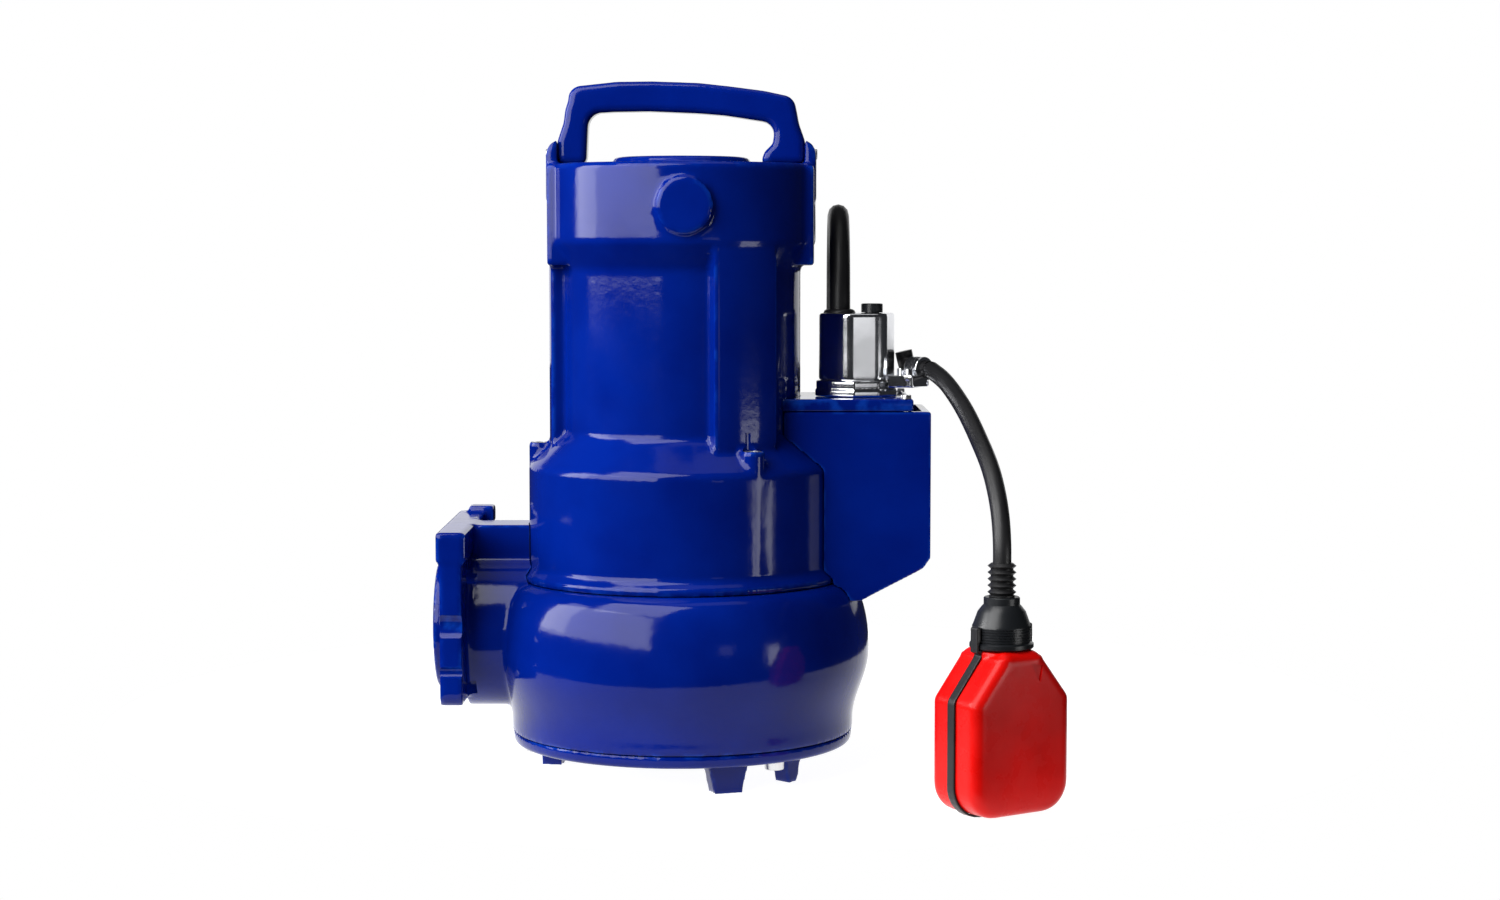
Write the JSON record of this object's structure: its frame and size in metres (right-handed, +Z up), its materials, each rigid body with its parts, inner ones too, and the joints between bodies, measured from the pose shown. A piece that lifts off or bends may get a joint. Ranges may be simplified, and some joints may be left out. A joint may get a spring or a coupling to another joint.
{
  "type": "submersible sump pump",
  "caption": "Submersible cast-iron wastewater pump with carrying handle, side discharge flange, cable box, cable gland and hanging float switch.",
  "frame": {"origin": "middle of the base of the pump with its float, the power cable and its plug left out", "axes": "+Z up along the shaft, -X out of the discharge flange, -Y towards the front foot and the float"},
  "size_m": [0.4226, 0.607, 0.4765],
  "materials": {
    "blue_paint": "glossy enamel on rough casting",
    "bare_iron": "machined and cast",
    "chrome": "polished",
    "stainless": "satin",
    "core_steel": "laminated sheet",
    "copper": "varnished winding",
    "bearing_steel": "ground",
    "carbon": "lapped carbon",
    "rubber": "satin",
    "black_plastic": "moulded",
    "red_plastic": "moulded",
    "white_plastic": "moulded"
  },
  "bodies": {
    "pump": {"motor_housing": "blue_paint", "carrying_handle": "blue_paint", "volute_casing": "blue_paint", "suction_cover": "blue_paint", "cable_box": "blue_paint", "box_lid": "blue_paint", "bearing_bracket": "bare_iron", "oil_chamber_cover": "bare_iron", "oil_plug": "bare_iron", "cable_gland": "chrome", "cable_clamp": "chrome", "handle_screw_left": "stainless", "handle_screw_right": "stainless", "tie_bolt_1": "stainless", "tie_bolt_2": "stainless", "tie_bolt_3": "stainless", "cover_screw_1": "stainless", "cover_screw_2": "stainless", "cover_screw_3": "stainless", "box_lid_screw_front": "stainless", "box_lid_screw_back": "stainless", "clamp_screw_1": "stainless", "clamp_screw_2": "stainless", "stator_core": "core_steel", "winding_upper": "copper", "winding_lower": "copper", "upper_bearing_outer": "bearing_steel", "lower_bearing_outer": "bearing_steel", "seal_seat": "carbon", "lip_seal": "rubber", "housing_o_ring": "rubber", "cover_o_ring": "rubber", "gland_grommet": "rubber", "float_cable_tail": "rubber", "power_cable": "rubber", "power_cable_coil": "rubber", "gland_plug": "black_plastic", "mains_plug": "black_plastic", "capacitor": "white_plastic", "terminal_block": "white_plastic"},
    "rotor": {"shaft": "stainless", "rotor_core": "core_steel", "upper_bearing_inner": "bearing_steel", "lower_bearing_inner": "bearing_steel", "seal_ring": "carbon", "seal_spring": "stainless", "impeller": "bare_iron", "impeller_washer": "stainless", "impeller_bolt": "stainless"},
    "float": {"float_cable": "rubber", "float_bend_relief": "rubber", "float_cap": "black_plastic", "float_shell_front": "red_plastic", "float_shell_back": "red_plastic", "float_band": "rubber", "switch_tube": "white_plastic", "micro_switch": "black_plastic"},
    "upper_cage": {"upper_bearing_cage": "bearing_steel"},
    "lower_cage": {"lower_bearing_cage": "bearing_steel"},
    "switch_ball": {"float_ball": "bearing_steel"}
  },
  "joints": [
    {"name": "rotor_spin", "type": "hinge", "parent": "pump", "child": "rotor", "pos_m": [-0.04204, 0.03553, 0.2], "axis": [0, 0, 1], "continuous": true},
    {"name": "upper_cage_spin", "type": "hinge", "parent": "pump", "child": "upper_cage", "pos_m": [-0.04204, 0.03553, 0.4015], "axis": [0, 0, 1], "continuous": true},
    {"name": "lower_cage_spin", "type": "hinge", "parent": "pump", "child": "lower_cage", "pos_m": [-0.04204, 0.03553, 0.2085], "axis": [0, 0, 1], "continuous": true},
    {"name": "float_swing", "type": "hinge", "parent": "pump", "child": "float", "pos_m": [0.12987, 0.02058, 0.2793], "axis": [-0.9662, -0.2577, 0], "range_deg": [0, 95]},
    {"name": "switch_ball_slide", "type": "slide", "parent": "float", "child": "switch_ball", "axis": [0, 0, 1], "range_m": [0, 0.034]}
  ],
  "couplings": [
    {"joint": "upper_cage_spin", "follows": "rotor_spin", "ratio": 0.388},
    {"joint": "lower_cage_spin", "follows": "rotor_spin", "ratio": 0.3756}
  ]
}
